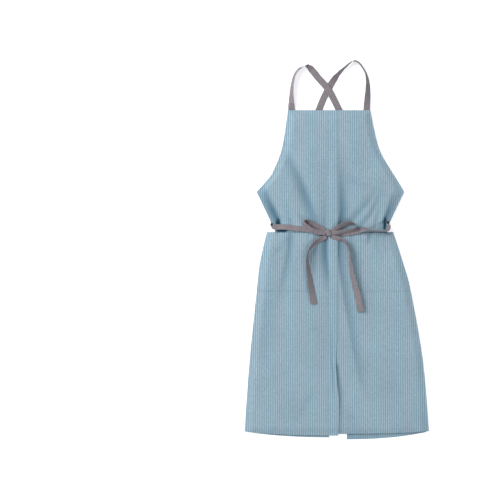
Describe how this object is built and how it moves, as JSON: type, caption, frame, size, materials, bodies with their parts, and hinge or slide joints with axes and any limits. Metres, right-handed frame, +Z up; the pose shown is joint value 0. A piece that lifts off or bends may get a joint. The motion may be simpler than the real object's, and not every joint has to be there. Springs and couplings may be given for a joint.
{
  "type": "butcher apron",
  "caption": "Cloth butcher apron laid flat, front up: bib, vented skirt, hip pockets, free back flaps, crossed tape straps that run through side loops and tie in a bow.",
  "frame": {"origin": "centre of the outline of the apron as it lies, at table level", "axes": "+X to the viewer's right, +Y along the apron towards the bib and shoulder loops, +Z up off the table, front face up"},
  "size_m": [0.553, 1.1375, 0.027],
  "materials": {
    "cloth": "matt blue-grey cotton with fine woven vertical stripes",
    "tape": "matt warm grey melange cotton tape",
    "elastic": "matt black woven elastic"
  },
  "bodies": {
    "skirt": {"skirt_front_left": "cloth", "skirt_front_right": "cloth", "skirt_placket": "cloth", "front_hem_left": "cloth", "front_hem_right": "cloth", "pocket_left": "cloth", "pocket_right": "cloth", "pocket_facing_left": "cloth", "pocket_facing_right": "cloth", "waist_back_left": "cloth", "waist_back_right": "cloth", "back_side_left": "cloth", "back_side_right": "cloth", "waist_tie_left": "tape", "waist_tie_right": "tape", "side_loop_left": "elastic", "side_loop_right": "elastic", "bow_knot": "tape"},
    "bib": {"bib_front_left": "cloth", "bib_front_right": "cloth", "bib_placket": "cloth", "bib_top_facing": "cloth", "armhole_facing_left": "cloth", "armhole_facing_right": "cloth", "wing_left": "cloth", "wing_right": "cloth", "wing_facing_left": "cloth", "wing_facing_right": "cloth", "strap_end_left": "tape", "strap_end_right": "tape", "strap_run_left": "tape", "strap_run_right": "tape"},
    "straps": {"strap_loop_left": "tape", "strap_loop_right": "tape"},
    "back_flap_left": {"back_panel_left": "cloth", "back_hem_left": "cloth", "back_edge_facing_left": "cloth"},
    "back_flap_right": {"back_panel_right": "cloth", "back_hem_right": "cloth", "back_edge_facing_right": "cloth"},
    "tie_tail_left": {"tail_left": "tape"},
    "tie_tail_right": {"tail_right": "tape"},
    "tie_loop_left": {"bow_loop_left": "tape"},
    "tie_loop_right": {"bow_loop_right": "tape"}
  },
  "joints": [
    {"name": "bib_fold", "type": "hinge", "parent": "skirt", "child": "bib", "pos_m": [0, 0.099, 0.014], "axis": [1, 0, 0], "range_deg": [0, 160]},
    {"name": "strap_fold", "type": "hinge", "parent": "bib", "child": "straps", "pos_m": [0, 0.41815, 0.005], "axis": [-1, 0, 0], "range_deg": [-160, 0]},
    {"name": "back_flap_left_open", "type": "hinge", "parent": "skirt", "child": "back_flap_left", "pos_m": [-0.24055, -0.293, 0.0004], "axis": [0.1102, 0.9939, 0], "range_deg": [0, 180]},
    {"name": "back_flap_right_open", "type": "hinge", "parent": "skirt", "child": "back_flap_right", "pos_m": [0.22361, -0.293, 0.0004], "axis": [0.1754, -0.9845, 0], "range_deg": [0, 180]},
    {"name": "tail_left_lift", "type": "hinge", "parent": "skirt", "child": "tie_tail_left", "pos_m": [-0.033, 0.0395, 0.0115], "axis": [1, 0, 0], "range_deg": [-80, 0]},
    {"name": "tail_right_lift", "type": "hinge", "parent": "skirt", "child": "tie_tail_right", "pos_m": [-0.0175, 0.0395, 0.0115], "axis": [1, 0, 0], "range_deg": [-80, 0]},
    {"name": "loop_left_lift", "type": "hinge", "parent": "skirt", "child": "tie_loop_left", "pos_m": [-0.035, 0.053, 0.015], "axis": [0, -1, 0], "range_deg": [-60, 0]},
    {"name": "loop_right_lift", "type": "hinge", "parent": "skirt", "child": "tie_loop_right", "pos_m": [-0.016, 0.053, 0.015], "axis": [0, 1, 0], "range_deg": [-60, 0]}
  ]
}
